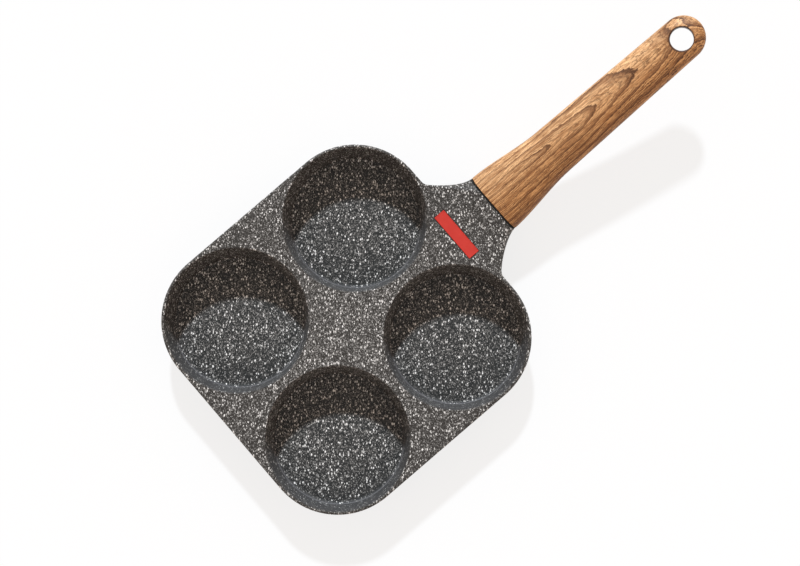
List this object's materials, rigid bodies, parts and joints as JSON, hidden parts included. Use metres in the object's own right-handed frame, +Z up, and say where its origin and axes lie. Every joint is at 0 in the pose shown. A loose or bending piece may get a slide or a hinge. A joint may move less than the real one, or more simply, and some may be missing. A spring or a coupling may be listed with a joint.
{
  "type": "four-hole omelette pan",
  "caption": "Cast frying pan with round egg cups sunk in a rounded square deck, a base disc under each cup and a straight wood-look handle with a hanging hole.",
  "frame": {"origin": "centre of the whole pan's footprint, handle included, on the surface that the base discs stand on", "axes": "+X along the handle from the cups to its hanging hole, +Z up out of the cups, Y across the pan"},
  "size_m": [0.3766, 0.1876, 0.0584],
  "materials": {
    "speckled_coating": "cast aluminium under a matt charcoal non-stick coating with dense white and grey stone-like specks",
    "induction_steel": "turned magnetic stainless steel, satin",
    "red_badge": "plain red enamel, satin, with no marking",
    "wood_look_handle": "moulded heat-resistant plastic with a honey-brown oak grain film, satin",
    "black_gasket": "matt black",
    "plated_steel": "bright zinc plate"
  },
  "bodies": {
    "root": {"pan_body": "speckled_coating", "base_disc_1": "induction_steel", "base_disc_2": "induction_steel", "base_disc_3": "induction_steel", "base_disc_4": "induction_steel", "badge": "red_badge", "handle": "wood_look_handle", "handle_gasket": "black_gasket", "handle_screw": "plated_steel", "spring_washer": "plated_steel", "flat_washer": "plated_steel"}
  },
  "joints": []
}
